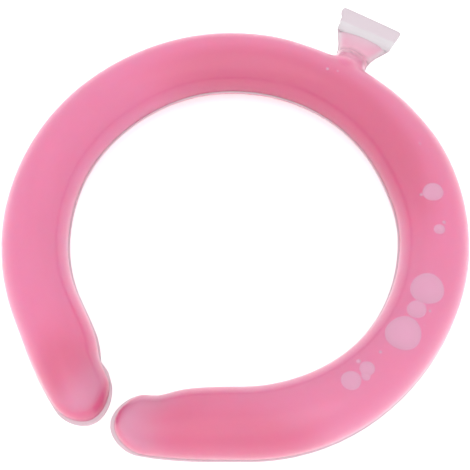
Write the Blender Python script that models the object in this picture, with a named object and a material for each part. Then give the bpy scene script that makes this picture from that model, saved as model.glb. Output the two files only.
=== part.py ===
"""Cooling neck ring: a hollow C-shaped tube with a welded filler neck, filled with a cooling gel.

Run it with Blender 4.5: blender --background --python part.py
Metres, +Z up. The ring lies flat as it would on a table. The back of the neck, where the
filler neck stands, is towards +Y, and the two ends of the C meet towards -Y.
"""

import math
from typing import NamedTuple

import bmesh
import bpy
from mathutils import Matrix, Vector

# The ring
RING_RADIUS = 0.074  # middle of the neck opening to the middle of the tube
TUBE_WIDTH = 0.0250  # across the tube's body, without its seam
TUBE_HEIGHT = 0.0254
WALL = 0.0012
CLEARANCE = 0.0003  # between pieces that touch

# The seam left by the mould runs round the outline, halfway up
SEAM_PROUD = 0.0004  # how far it stands out along the sides
SEAM_HALF_THICKNESS = 0.0007
SEAM_EDGE_SHARE = 0.6  # thickness left at the seam's rim
TIP_SEAM = 0.0015  # how far it stands out round each tip

# The two ends of the C
END_GAP = 0.0044  # between the tips
END_MEETING = 0.0029  # the tips meet this far to the right of the middle
END_LENGTH = 0.036  # stretch over which the tube narrows
END_TAPER = 0.35  # share of its width that the tube would lose at the tip
TAPER_POWER = 1.6
NOSE_LENGTH = 0.011  # the rounded tip
NOSE_SKEW = 0.0010  # the tip lies this far outwards of the tube's middle
NICK_FROM_TIP = 0.0175  # deepest place of the shallow nick on the neck's side
NICK_DEPTH = 0.0013
NICK_BEFORE = 0.012  # the nick's slope from the ring's side
NICK_AFTER = 0.0045  # its slope on the tip's side

# The filler neck, and the strip that was welded shut across its mouth
NECK_LEAN = math.radians(5.3)  # to the left
NECK_OFFSET = -0.0006  # its foot stands this far from the ring's middle line
NECK_LENGTH = 0.0155  # tube's outer side to the weld
NECK_WIDTH = 0.0250  # at the weld
NECK_FOOT_HEIGHT = 0.0136
NECK_WALL = 0.0011
MOUTH_HEIGHT = 0.0014  # free height inside the flattened mouth
SEAL_LENGTH = 0.0102
SEAL_THICKNESS = 0.0026
SEAL_BEAD_THICKNESS = 0.0042  # the ridge that the weld squeezed up

# The gel
GEL_IN_NECK = 0.0046  # how far the gel rises past the tube's outer side
BUBBLE_DEPTH_SHARE = 0.16  # of a bubble's width

# Facets
ARC_STEP = math.radians(7.5)
BODY_ARC_STEPS = 11  # odd, so that the tube has a flat facet to stand on
SEAM_ROOT_ANGLE = math.radians(5)
CAVITY_SIDES = 16
NOSE_STEPS = 6
TAPER_STEPS = 10
LEAST_BODY_SHARE = 0.8  # the body's half-width by the tip, as a share of the seam's


class Arm(NamedTuple):
    """One half of the C, from the back of the neck to its tip."""

    side: int  # +1 towards +X, -1 towards -X
    arc: float  # turned on the ring's own radius
    bend: float  # turned on a tighter radius after it
    bend_radius_share: float  # of the ring's radius


RIGHT_ARM = Arm(side=1, arc=math.radians(110), bend=math.radians(37), bend_radius_share=0.92)
LEFT_ARM = Arm(side=-1, arc=math.radians(120), bend=math.radians(29.5), bend_radius_share=1.0)


class Swell(NamedTuple):
    """How full the soft tube is on each side, at one place round the ring."""

    round_ring: float  # degrees along the tube's middle from the filler neck, towards +X
    outer: float  # share of half the tube's width
    inner: float


SWELLS = (
    Swell(round_ring=-175, outer=1.04, inner=1.04),
    Swell(round_ring=-148, outer=0.95, inner=0.98),
    Swell(round_ring=-110, outer=0.95, inner=1.06),
    Swell(round_ring=-75, outer=0.98, inner=1.07),
    Swell(round_ring=-42, outer=1.01, inner=1.00),
    Swell(round_ring=-24, outer=0.98, inner=1.01),
    Swell(round_ring=-9, outer=0.89, inner=1.02),
    Swell(round_ring=9, outer=0.93, inner=1.05),
    Swell(round_ring=20, outer=0.99, inner=1.08),
    Swell(round_ring=36, outer=1.06, inner=1.11),
    Swell(round_ring=62, outer=1.03, inner=1.02),
    Swell(round_ring=95, outer=0.95, inner=0.97),
    Swell(round_ring=130, outer=0.98, inner=1.02),
    Swell(round_ring=148, outer=0.96, inner=1.00),
    Swell(round_ring=172, outer=1.06, inner=1.00),
)


class NeckSection(NamedTuple):
    """A section of the filler neck or of its seal."""

    along: float  # share of the length of the neck or of the seal
    left: float  # half-width to the left, as a share of half the neck's width
    right: float
    height: float  # share of the foot's height, or of the seal's thickness


NECK_SECTIONS = (
    NeckSection(along=-0.50, left=0.64, right=0.68, height=1.08),
    NeckSection(along=-0.15, left=0.60, right=0.62, height=1.04),
    NeckSection(along=0.05, left=0.54, right=0.54, height=0.98),
    NeckSection(along=0.20, left=0.52, right=0.53, height=0.86),
    NeckSection(along=0.38, left=0.57, right=0.57, height=0.70),
    NeckSection(along=0.58, left=0.67, right=0.67, height=0.54),
    NeckSection(along=0.80, left=0.82, right=0.84, height=0.39),
    NeckSection(along=1.00, left=0.94, right=0.95, height=0.265),
)

SEAL_SECTIONS = (
    NeckSection(along=0.00, left=0.95, right=0.96, height=1.00),
    NeckSection(along=0.16, left=0.98, right=0.98, height=0.50),
    NeckSection(along=0.44, left=1.04, right=0.99, height=0.00),
    NeckSection(along=0.52, left=1.01, right=0.99, height=0.00),
    NeckSection(along=0.60, left=1.09, right=1.00, height=0.00),
    NeckSection(along=0.90, left=1.14, right=1.00, height=0.00),
    NeckSection(along=1.00, left=1.07, right=0.99, height=0.00),
)


class Bubble(NamedTuple):
    """An air bubble caught between the gel and the top of the tube."""

    round_ring: float  # degrees from the filler neck, towards +X
    across: float  # from the tube's middle, as a share of its half-width, outwards
    width: float  # share of the tube's width


BUBBLES = (
    Bubble(round_ring=50.2, across=-0.09, width=0.29),
    Bubble(round_ring=62.0, across=-0.06, width=0.16),
    Bubble(round_ring=80.4, across=-0.12, width=0.45),
    Bubble(round_ring=87.3, across=-0.16, width=0.26),
    Bubble(round_ring=95.1, across=-0.13, width=0.48),
    Bubble(round_ring=109.3, across=-0.16, width=0.20),
    Bubble(round_ring=114.7, across=-0.15, width=0.26),
)


def material(name, colour, roughness, alpha=1.0):
    """A Principled material for one of the ring's plastics."""
    made = bpy.data.materials.new(name)
    made.use_nodes = True
    shader = made.node_tree.nodes["Principled BSDF"]
    shader.inputs["Base Color"].default_value = (*colour, 1)
    shader.inputs["Roughness"].default_value = roughness
    shader.inputs["Metallic"].default_value = 0
    shader.inputs["Alpha"].default_value = alpha
    return made


def end_share(from_tip):
    """Half-width of the tube near a tip, as a share of its full half-width."""
    back = max(0.0, 1 - max(from_tip, 0.0) / END_LENGTH)
    nose = min(max(from_tip, 0.0) / NOSE_LENGTH, 1.0)
    return (1 - END_TAPER * back**TAPER_POWER) * math.sqrt(1 - (1 - nose) ** 2)


def nick_depth(from_tip):
    """How deep the nick on the neck's side is at this distance from the tip."""
    slope = NICK_BEFORE if from_tip > NICK_FROM_TIP else NICK_AFTER
    away = min(1.0, abs(from_tip - NICK_FROM_TIP) / slope)
    return NICK_DEPTH * (1 + math.cos(math.pi * away)) / 2


def nose_skew(from_tip):
    """How far outwards the rounded tip's sections lie."""
    return NOSE_SKEW * max(0.0, 1 - from_tip / NOSE_LENGTH)


def swell(round_ring):
    """How full the tube is at this many degrees round the ring, eased between its rows."""
    for first, second in zip(SWELLS, SWELLS[1:]):
        if round_ring <= second.round_ring:
            break
    share = (round_ring - first.round_ring) / (second.round_ring - first.round_ring)
    ease = (1 - math.cos(math.pi * min(max(share, 0.0), 1.0))) / 2
    return (
        first.outer + (second.outer - first.outer) * ease,
        first.inner + (second.inner - first.inner) * ease,
    )


def bend_end(arm):
    """Where an arm's bend ends: its place, its direction, and the centre of the bend."""
    radius = RING_RADIUS * arm.bend_radius_share
    out = Vector((math.sin(arm.arc), math.cos(arm.arc)))
    centre = out * (RING_RADIUS - radius)
    turned = arm.arc + arm.bend
    place = centre + Vector((math.sin(turned), math.cos(turned))) * radius
    return place, Vector((math.cos(turned), -math.sin(turned))), centre


def straight_length(arm):
    """Length of the arm's straight end, so that its tip stands at half the gap."""
    place, heading, _ = bend_end(arm)
    tip_x = END_GAP / 2 + arm.side * END_MEETING
    return (tip_x - place.x) / heading.x


def arm_length(arm):
    radius = RING_RADIUS * arm.bend_radius_share
    return RING_RADIUS * arm.arc + radius * arm.bend + straight_length(arm)


def centreline(arm, distance):
    """Place and outward direction on the arm's centreline, measured from the filler neck."""
    radius = RING_RADIUS * arm.bend_radius_share
    arc_length = RING_RADIUS * arm.arc
    bend_length = radius * arm.bend
    place, heading, bend_centre = bend_end(arm)
    if distance <= arc_length:
        angle = distance / RING_RADIUS
        outward = Vector((math.sin(angle), math.cos(angle)))
        place = outward * RING_RADIUS
    elif distance <= arc_length + bend_length:
        angle = arm.arc + (distance - arc_length) / radius
        outward = Vector((math.sin(angle), math.cos(angle)))
        place = bend_centre + outward * radius
    else:
        outward = Vector((-heading.y, heading.x))
        place = place + heading * (distance - arc_length - bend_length)
    return (
        Vector((place.x * arm.side, place.y, 0)),
        Vector((outward.x * arm.side, outward.y, 0)),
    )


def tip_distances(start):
    """Distances from the tip at which the narrowing end has a section, from start inwards."""
    nose = [
        start + NOSE_LENGTH * (1 - math.cos(math.pi / 2 * step / NOSE_STEPS))
        for step in range(1, NOSE_STEPS)
    ]
    first = start + NOSE_LENGTH
    taper = [first + (END_LENGTH - first) * step / TAPER_STEPS for step in range(TAPER_STEPS + 1)]
    return nose + taper


def tube_stations(tip_list):
    """(arm, distance from the neck, distance from the tip) from the left tip to the right one."""
    left = [(LEFT_ARM, arm_length(LEFT_ARM) - tip, tip) for tip in tip_list]
    right = [(RIGHT_ARM, arm_length(RIGHT_ARM) - tip, tip) for tip in tip_list]
    middle = []
    for arm in (LEFT_ARM, RIGHT_ARM):
        length = arm_length(arm) - END_LENGTH
        steps = round(length / (RING_RADIUS * ARC_STEP))
        middle.append([(arm, length * step / steps, math.inf) for step in range(1, steps)])
    back = [(RIGHT_ARM, 0.0, math.inf)]
    return left + middle[0][::-1] + back + middle[1] + right[::-1]


def seamed_section(outer, inner, height, seam_outer, seam_inner):
    """Outline (outwards, up) of a tube whose seam stands out on both sides."""
    span = math.pi - 2 * SEAM_ROOT_ANGLE
    angles = [SEAM_ROOT_ANGLE + span * step / BODY_ARC_STEPS for step in range(BODY_ARC_STEPS + 1)]
    top_sine = max(math.sin(angle) for angle in angles)
    rim = SEAM_HALF_THICKNESS * SEAM_EDGE_SHARE
    top = []
    for angle in angles:
        side = outer if math.cos(angle) > 0 else inner
        rise = max(height / top_sine * math.sin(angle), SEAM_HALF_THICKNESS)
        top.append((side * math.cos(angle), rise))
    half = [(seam_outer, rim), *top, (-seam_inner, rim)]
    return half + [(across, -up) for across, up in reversed(half)]


def plain_section(outer, inner, height, sides=CAVITY_SIDES):
    """Outline (outwards, up) of a smooth tube, flat at the top and at the bottom."""
    turn = 2 * math.pi / sides
    points = []
    for side in range(sides):
        angle = (side + 0.5) * turn
        half = outer if math.cos(angle) > 0 else inner
        points.append((half * math.cos(angle), height * math.sin(angle) / math.cos(turn / 2)))
    return points


def half_widths(station, inset):
    """The tube's half-widths, outer and inner, this far in from its outer side."""
    arm, distance, _ = station
    outer, inner = swell(arm.side * math.degrees(distance / RING_RADIUS))
    half = TUBE_WIDTH / 2
    return half * outer - inset, half * inner - inset


def body_section(station):
    """The shell's outer outline at this station."""
    from_tip = station[-1]
    edge = end_share(from_tip)
    body = max(end_share(from_tip - TIP_SEAM), edge * LEAST_BODY_SHARE)
    nick = nick_depth(from_tip)
    skew = nose_skew(from_tip)
    outer, inner = half_widths(station, 0.0)
    return seamed_section(
        outer * body + skew,
        inner * body - nick - skew,
        TUBE_HEIGHT / 2 * body,
        (outer + SEAM_PROUD) * edge + skew,
        (inner + SEAM_PROUD) * edge - nick - skew,
    )


def filling_section(station, start, inset):
    """A smooth outline inside the shell, this far in from its outer side."""
    from_tip = station[-1]
    share = end_share(from_tip - start)
    nick = nick_depth(from_tip)
    skew = nose_skew(from_tip)
    outer, inner = half_widths(station, inset)
    height = TUBE_HEIGHT / 2 - inset
    return plain_section(outer * share + skew, inner * share - nick - skew, height * share)


def loft(name, rings):
    """A closed mesh object through rings of points, with a face across each end."""
    made = bmesh.new()
    loops = [[made.verts.new(point) for point in ring] for ring in rings]
    count = len(rings[0])
    for first, second in zip(loops, loops[1:]):
        for i in range(count):
            j = (i + 1) % count
            made.faces.new((first[i], first[j], second[j], second[i]))
    made.faces.new(loops[0])
    made.faces.new(reversed(loops[-1]))
    bmesh.ops.recalc_face_normals(made, faces=made.faces)
    mesh = bpy.data.meshes.new(name)
    made.to_mesh(mesh)
    made.free()
    return bpy.data.objects.new(name, mesh)


def tube_loft(name, stations, section_of):
    rings = []
    for station in stations:
        place, outward = centreline(*station[:2])
        rings.append(
            [place + outward * across + Vector((0, 0, up)) for across, up in section_of(station)]
        )
    return loft(name, rings)


def neck_frame():
    """Turns (across, along, up) on the filler neck into the ring's frame."""
    foot = Vector((NECK_OFFSET, RING_RADIUS + TUBE_WIDTH / 2, 0))
    return Matrix.Translation(foot) @ Matrix.Rotation(NECK_LEAN, 4, "Z")


def neck_height(section, inset=0.0):
    """Half-height of the neck at a section, from its round foot to its flattened mouth."""
    return NECK_FOOT_HEIGHT / 2 * section.height - inset


def neck_ring(section, along, height, inset=0.0, seamed=True):
    """A ring of points round the neck at this distance from the tube."""
    half = NECK_WIDTH / 2
    right = half * section.right - inset
    left = half * section.left - inset
    if seamed:
        outline = seamed_section(right, left, height, right + SEAM_PROUD, left + SEAM_PROUD)
    else:
        outline = plain_section(right, left, height)
    place = neck_frame()
    return [place @ Vector((across, along, up)) for across, up in outline]


def between(first, second, along):
    """The section between two others."""
    share = (along - first.along) / (second.along - first.along)
    return NeckSection(*(a + (b - a) * share for a, b in zip(first, second)))


def neck_section_at(along):
    """The filler neck's section at a share of its length."""
    for first, second in zip(NECK_SECTIONS, NECK_SECTIONS[1:]):
        if along <= second.along:
            return between(first, second, along)
    return NECK_SECTIONS[-1]


def filler_neck(name):
    """The neck's outer form, from inside the tube to its mouth."""
    rings = [
        neck_ring(section, section.along * NECK_LENGTH, neck_height(section))
        for section in NECK_SECTIONS
    ]
    return loft(name, rings)


def neck_bore(name):
    """The neck's hollow, which runs out through its mouth."""
    rings = []
    for section in NECK_SECTIONS:
        height = max(neck_height(section, NECK_WALL), MOUTH_HEIGHT / 2)
        along = section.along * NECK_LENGTH
        rings.append(neck_ring(section, along, height, NECK_WALL + SEAM_PROUD, seamed=False))
    beyond = NECK_LENGTH + CLEARANCE
    last = NECK_SECTIONS[-1]
    rings.append(neck_ring(last, beyond, MOUTH_HEIGHT / 2, NECK_WALL + SEAM_PROUD, seamed=False))
    return loft(name, rings)


def gel_stub(name):
    """The gel that stands in the foot of the filler neck."""
    inset = NECK_WALL + CLEARANCE
    level = GEL_IN_NECK / NECK_LENGTH
    sections = [section for section in NECK_SECTIONS if section.along < level]
    sections.append(neck_section_at(level))
    rings = [
        neck_ring(
            section,
            section.along * NECK_LENGTH,
            neck_height(section, inset),
            inset + SEAM_PROUD,
            seamed=False,
        )
        for section in sections
    ]
    return loft(name, rings)


def bubble_cutter(name, bubble):
    """A flat bubble that dishes the top of the gel."""
    width = bubble.width * TUBE_WIDTH
    depth = width * BUBBLE_DEPTH_SHARE
    half = TUBE_WIDTH / 2 - WALL - CLEARANCE
    across = bubble.across * TUBE_WIDTH / 2
    top = (TUBE_HEIGHT / 2 - WALL - CLEARANCE) * math.sqrt(1 - (across / half) ** 2)
    made = bmesh.new()
    bmesh.ops.create_uvsphere(made, u_segments=14, v_segments=7, radius=1.0)
    mesh = bpy.data.meshes.new(name)
    made.to_mesh(mesh)
    made.free()
    cutter = bpy.data.objects.new(name, mesh)
    angle = math.radians(bubble.round_ring)
    out = Vector((math.sin(angle), math.cos(angle), 0))
    tilt = Matrix.Rotation(math.asin(across / half), 4, Vector((out.y, -out.x, 0)))
    size = Matrix.Diagonal((width / 2, width / 2, depth, 1))
    mesh.transform(tilt @ size)
    cutter.location = out * (RING_RADIUS + across) + Vector((0, 0, top))
    return cutter


def cut(target, other, operation):
    modifier = target.modifiers.new(other.name, "BOOLEAN")
    modifier.operation = operation
    modifier.object = other


def as_cutter(obj, collection):
    collection.objects.link(obj)
    obj.display_type = "WIRE"
    obj.hide_render = True
    return obj


def shell(cutters):
    """The clear tube with its seam and its open filler neck."""
    flange = [TIP_SEAM * share for share in (0.08, 0.3, 0.65)]
    made = tube_loft("shell", tube_stations(flange + tip_distances(TIP_SEAM)), body_section)
    cut(made, as_cutter(filler_neck("filler_neck"), cutters), "UNION")
    start = TIP_SEAM + WALL
    hollow = tube_loft(
        "tube_hollow",
        tube_stations(tip_distances(start)),
        lambda station: filling_section(station, start, WALL),
    )
    cut(made, as_cutter(hollow, cutters), "DIFFERENCE")
    cut(made, as_cutter(neck_bore("neck_bore"), cutters), "DIFFERENCE")
    return made


def gel_core(cutters):
    """The cooling gel, dished where air bubbles lie on it."""
    start = TIP_SEAM + WALL + CLEARANCE
    inset = WALL + CLEARANCE
    made = tube_loft(
        "gel_core",
        tube_stations(tip_distances(start)),
        lambda station: filling_section(station, start, inset),
    )
    cut(made, as_cutter(gel_stub("gel_stub"), cutters), "UNION")
    for number, bubble in enumerate(BUBBLES, 1):
        cut(made, as_cutter(bubble_cutter(f"bubble_{number}", bubble), cutters), "DIFFERENCE")
    return made


def neck_seal():
    """The strip across the mouth, where both walls were melted into one."""
    thin = SEAL_THICKNESS / 2
    bead = SEAL_BEAD_THICKNESS / 2
    start = NECK_LENGTH + CLEARANCE
    rings = [
        neck_ring(
            section,
            start + section.along * SEAL_LENGTH,
            thin + (bead - thin) * section.height,
        )
        for section in SEAL_SECTIONS
    ]
    return loft("neck_seal", rings)


def new_collection(name):
    made = bpy.data.collections.new(name)
    bpy.context.scene.collection.children.link(made)
    return made


def lowest_and_highest(objects):
    graph = bpy.context.evaluated_depsgraph_get()
    corners = [
        made.matrix_world @ Vector(corner)
        for made in (obj.evaluated_get(graph) for obj in objects)
        for corner in made.bound_box
    ]
    low = Vector(map(min, zip(*corners)))
    high = Vector(map(max, zip(*corners)))
    return low, high


def main():
    for obj in list(bpy.data.objects):
        bpy.data.objects.remove(obj, do_unlink=True)
    parts = new_collection("cooling_neck_ring")
    cutters = new_collection("cutters")

    clear = material("clear_plastic", (0.92, 0.86, 0.88), 0.35, alpha=0.35)
    gel = material("pink_gel", (0.86, 0.22, 0.38), 0.45)
    fused = material("fused_plastic", (0.80, 0.76, 0.79), 0.45, alpha=0.8)

    pieces = [shell(cutters), gel_core(cutters), neck_seal()]
    for piece, finish in zip(pieces, (clear, gel, fused)):
        parts.objects.link(piece)
        piece.data.materials.append(finish)

    frame = bpy.data.objects.new("ring_frame", None)
    parts.objects.link(frame)
    for piece in list(parts.objects) + list(cutters.objects):
        if piece is not frame:
            piece.parent = frame
    bpy.context.view_layer.update()
    low, high = lowest_and_highest(pieces)
    frame.location = (-(low.x + high.x) / 2, -(low.y + high.y) / 2, -low.z)


main()
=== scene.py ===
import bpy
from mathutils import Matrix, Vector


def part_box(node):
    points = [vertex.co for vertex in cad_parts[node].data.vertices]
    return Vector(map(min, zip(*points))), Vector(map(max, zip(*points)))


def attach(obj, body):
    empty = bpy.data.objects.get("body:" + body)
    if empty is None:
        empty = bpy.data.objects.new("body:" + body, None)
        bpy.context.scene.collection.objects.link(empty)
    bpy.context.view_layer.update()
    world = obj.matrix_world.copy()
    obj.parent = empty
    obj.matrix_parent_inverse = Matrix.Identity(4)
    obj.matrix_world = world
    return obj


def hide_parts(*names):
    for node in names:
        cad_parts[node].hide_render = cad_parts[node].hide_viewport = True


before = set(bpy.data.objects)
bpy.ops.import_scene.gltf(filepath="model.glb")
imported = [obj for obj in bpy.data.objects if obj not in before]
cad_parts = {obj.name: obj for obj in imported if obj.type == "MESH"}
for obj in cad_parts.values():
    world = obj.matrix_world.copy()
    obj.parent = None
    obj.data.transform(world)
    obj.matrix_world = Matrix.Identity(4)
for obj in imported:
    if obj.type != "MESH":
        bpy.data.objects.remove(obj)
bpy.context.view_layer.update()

import math
from typing import NamedTuple

import bpy
from mathutils import Matrix, Vector

bl_info = {
    "name": "Cooling Neck Ring",
    "version": (1, 0, 0),
    "blender": (4, 5, 0),
    "location": "3D View > Sidebar > Neck Ring",
    "description": "Dresses the packed neck ring: clear shell, pink gel, bubbles and filler neck",
    "category": "Object",
}

BODY = "root"

# The middle of the ring's circle, which isn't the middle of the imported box, because the filler neck
# stands out at the back
SHELL_LOW, SHELL_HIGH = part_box("shell")
TUBE_HEIGHT = SHELL_HIGH[2] - SHELL_LOW[2]
RING_CENTRE = Vector((0.0001, -0.01117, TUBE_HEIGHT / 2))

PLASTIC_IOR = 1.42

# How far the gel reaches into the wall that it wets, so that no air shows between them
CONTACT = 0.00004

# The middle of the filler neck's foot, from the back of the ring's circle
NECK_FOOT_ASIDE = -0.0006
NECK_FOOT_OUT = 0.0125

# The oval round that foot in which the corner is rounded: its middle below the foot, its reach to
# the side and up the neck, and the shares of it that are smoothed in turn
CORNER_BELOW_FOOT = 0.004
CORNER_ASIDE = 0.0115
CORNER_UP = 0.0095
CORNER_SHARES = (0.65, 0.8, 0.95)
CORNER_REFINED = 1.1

# How long the slopes of the shallow nick are, away from the tip and towards it
NICK_SLOPE_AWAY = 0.009
NICK_SLOPE_TIP = 0.0042

# How late the tube narrows towards a tip, and the share of the seam's drop that is lost there
NARROWING_POWER = 1.6
TIP_DROP_LOST = 0.55

# The studio
WORLD_STRENGTH = 1.4
KEY_PLACE = (0.30, -0.55, 1.1)
KEY_SIZE = 1.4
KEY_POWER = 3.0
CAMERA_AZIMUTH = math.radians(33.2)
CAMERA_ELEVATION = math.radians(65.3)
CAMERA_DISTANCE = 0.2947
CAMERA_AIM = RING_CENTRE + Vector((0.00226, -0.00274, 0))
CAMERA_LENS = 61.0


class Arm(NamedTuple):
    """One half of the C, from the back of the neck to its tip."""

    side: int
    arc: float
    bend: float
    bend_radius_share: float
    nick_from_tip: float


RIGHT_ARM = Arm(
    side=1, arc=math.radians(110), bend=math.radians(37), bend_radius_share=0.92,
    nick_from_tip=0.0150,
)
LEFT_ARM = Arm(
    side=-1, arc=math.radians(120), bend=math.radians(29.5), bend_radius_share=1.0,
    nick_from_tip=0.0180,
)


class Swell(NamedTuple):
    """How full the soft tube is on each side, at one place round the ring."""

    round_ring: float  # degrees along the tube's middle from the filler neck, towards +X
    outer: float  # share of half the tube's width
    inner: float


SWELLS = (
    Swell(round_ring=-175, outer=1.04, inner=1.04),
    Swell(round_ring=-148, outer=0.95, inner=0.98),
    Swell(round_ring=-110, outer=0.95, inner=1.06),
    Swell(round_ring=-75, outer=0.98, inner=1.07),
    Swell(round_ring=-42, outer=1.01, inner=1.00),
    Swell(round_ring=-24, outer=0.98, inner=1.01),
    Swell(round_ring=-9, outer=0.89, inner=1.02),
    Swell(round_ring=9, outer=0.93, inner=1.05),
    Swell(round_ring=20, outer=0.99, inner=1.08),
    Swell(round_ring=36, outer=1.06, inner=1.11),
    Swell(round_ring=62, outer=1.03, inner=1.02),
    Swell(round_ring=95, outer=0.95, inner=0.97),
    Swell(round_ring=130, outer=0.98, inner=1.02),
    Swell(round_ring=148, outer=0.96, inner=1.00),
    Swell(round_ring=172, outer=1.06, inner=1.00),
)


class NeckSection(NamedTuple):
    """A section of the filler neck or of its weld."""

    along: float  # share of the length
    left: float  # half-width to the left, as a share of half the neck's width
    right: float
    height: float  # share of the foot's height, or of the weld's thickness


NECK_SECTIONS = (
    NeckSection(along=-0.62, left=0.600, right=0.600, height=1.76),
    NeckSection(along=-0.50, left=0.660, right=0.660, height=1.76),
    NeckSection(along=-0.42, left=0.690, right=0.690, height=1.72),
    NeckSection(along=-0.34, left=0.710, right=0.710, height=1.64),
    NeckSection(along=-0.26, left=0.720, right=0.720, height=1.54),
    NeckSection(along=-0.19, left=0.705, right=0.705, height=1.42),
    NeckSection(along=-0.12, left=0.665, right=0.665, height=1.29),
    NeckSection(along=-0.05, left=0.615, right=0.615, height=1.17),
    NeckSection(along=0.02, left=0.570, right=0.570, height=1.07),
    NeckSection(along=0.09, left=0.545, right=0.545, height=0.99),
    NeckSection(along=0.20, left=0.52, right=0.53, height=0.88),
    NeckSection(along=0.38, left=0.57, right=0.57, height=0.70),
    NeckSection(along=0.58, left=0.67, right=0.67, height=0.54),
    NeckSection(along=0.80, left=0.82, right=0.84, height=0.39),
    NeckSection(along=1.00, left=0.94, right=0.95, height=0.265),
)

# The hollow inside the neck, which the film of gel coats; its wall is thickest on the left
NECK_HOLLOW_SECTIONS = (
    NeckSection(along=-0.62, left=0.510, right=0.510, height=1.60),
    NeckSection(along=-0.50, left=0.570, right=0.570, height=1.60),
    NeckSection(along=-0.42, left=0.600, right=0.600, height=1.56),
    NeckSection(along=-0.34, left=0.620, right=0.620, height=1.48),
    NeckSection(along=-0.26, left=0.630, right=0.630, height=1.38),
    NeckSection(along=-0.19, left=0.615, right=0.615, height=1.26),
    NeckSection(along=-0.12, left=0.575, right=0.575, height=1.13),
    NeckSection(along=-0.05, left=0.525, right=0.525, height=1.01),
    NeckSection(along=0.02, left=0.480, right=0.480, height=0.91),
    NeckSection(along=0.09, left=0.455, right=0.455, height=0.83),
    NeckSection(along=0.20, left=0.42, right=0.45, height=0.72),
    NeckSection(along=0.38, left=0.43, right=0.49, height=0.54),
    NeckSection(along=0.58, left=0.48, right=0.59, height=0.38),
    NeckSection(along=0.80, left=0.57, right=0.73, height=0.23),
    NeckSection(along=0.94, left=0.64, right=0.76, height=0.11),
)

# The gel's domed end in the neck: each step's rise, as a share of the gel's level there, and how
# much of its width is left
GEL_DOME = ((0.10, 0.94), (0.12, 0.86), (0.12, 0.72), (0.08, 0.5))

WELD_SECTIONS = (
    NeckSection(along=-0.22, left=0.86, right=0.86, height=0.50),
    NeckSection(along=-0.14, left=0.92, right=0.925, height=0.78),
    NeckSection(along=-0.06, left=0.95, right=0.955, height=0.90),
    NeckSection(along=0.01, left=0.965, right=0.975, height=0.97),
    NeckSection(along=0.08, left=0.97, right=0.98, height=1.00),
    NeckSection(along=0.15, left=0.98, right=0.985, height=0.95),
    NeckSection(along=0.24, left=0.99, right=0.98, height=0.78),
    NeckSection(along=0.32, left=1.02, right=0.99, height=0.63),
    NeckSection(along=0.42, left=1.05, right=0.99, height=0.60),
    NeckSection(along=0.50, left=1.03, right=0.99, height=0.60),
    NeckSection(along=0.56, left=1.06, right=1.00, height=0.60),
    NeckSection(along=0.70, left=1.15, right=1.00, height=0.60),
    NeckSection(along=0.88, left=1.18, right=1.00, height=0.61),
    NeckSection(along=0.96, left=1.15, right=1.00, height=0.60),
    NeckSection(along=1.00, left=1.10, right=0.99, height=0.50),
)


class Bubble(NamedTuple):
    """An air bubble caught between the gel and the top of the tube."""

    round_ring: float  # degrees from the filler neck, towards +X
    across: float  # from the tube's middle, as a share of its half-width, outwards
    width: float  # millimetres


BUBBLES = (
    Bubble(round_ring=50.2, across=-0.09, width=7.2),
    Bubble(round_ring=62.0, across=-0.06, width=4.0),
    Bubble(round_ring=80.4, across=-0.12, width=11.5),
    Bubble(round_ring=87.3, across=-0.16, width=6.6),
    Bubble(round_ring=95.1, across=-0.13, width=12.3),
    Bubble(round_ring=109.3, across=-0.16, width=5.1),
    Bubble(round_ring=114.7, across=-0.15, width=6.6),
    Bubble(round_ring=110.9, across=-0.02, width=3.2),
    Bubble(round_ring=50.3, across=-0.42, width=1.1),
    Bubble(round_ring=59.8, across=0.08, width=1.5),
    Bubble(round_ring=86.0, across=0.18, width=1.4),
    Bubble(round_ring=90.1, across=0.23, width=1.1),
    Bubble(round_ring=103.4, across=-0.25, width=1.3),
    Bubble(round_ring=109.5, across=-0.45, width=1.8),
    Bubble(round_ring=34.4, across=0.09, width=1.2),
    Bubble(round_ring=-2.9, across=-0.11, width=1.2),
    Bubble(round_ring=0.2, across=-0.01, width=1.2),
)

RIM_SIDES = 32
STATION_GAP = 0.0045
NOSE_STEPS = 10


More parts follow.
